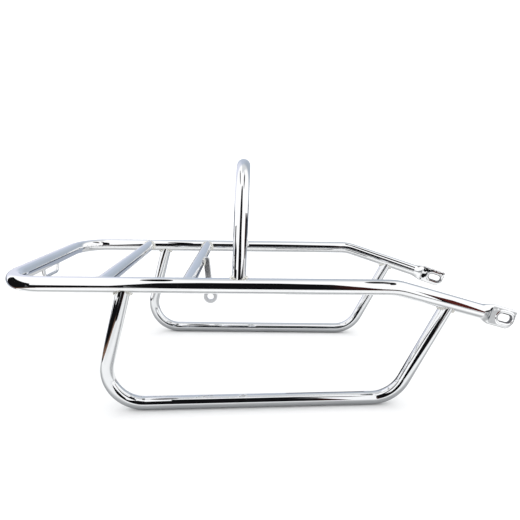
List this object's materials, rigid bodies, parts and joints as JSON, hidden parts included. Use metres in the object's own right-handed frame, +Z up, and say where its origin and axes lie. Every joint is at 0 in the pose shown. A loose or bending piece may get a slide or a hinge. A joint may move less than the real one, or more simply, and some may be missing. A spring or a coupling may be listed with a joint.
{
  "type": "motorcycle luggage rack",
  "caption": "Chromed tubular motorcycle luggage rack with an open deck, upright grab hoop, side guards, mudguard hanger, lashing loop and arms pressed flat and slotted at the ends.",
  "frame": {"origin": "on the floor, under the middle of the bounding box, with the side guards resting on it", "axes": "+X forward along the motorcycle, +Y to its left, +Z up"},
  "size_m": [0.5498, 0.244, 0.2611],
  "materials": {
    "chrome": "polished"
  },
  "bodies": {
    "root": {"deck_hoop": "chrome", "rear_cross_tube": "chrome", "front_cross_tube": "chrome", "grab_hoop": "chrome", "mudguard_hanger": "chrome", "lashing_loop": "chrome", "side_guard_right": "chrome", "side_guard_left": "chrome", "weld_hanger": "chrome", "weld_rear_cross_tube_right": "chrome", "weld_rear_cross_tube_left": "chrome", "weld_front_cross_tube_right": "chrome", "weld_front_cross_tube_left": "chrome", "weld_grab_hoop_right": "chrome", "weld_grab_hoop_left": "chrome", "weld_guard_rear_right": "chrome", "weld_guard_rear_left": "chrome", "weld_guard_front_right": "chrome", "weld_guard_front_left": "chrome", "weld_lashing_loop_right": "chrome", "weld_lashing_loop_left": "chrome"}
  },
  "joints": []
}
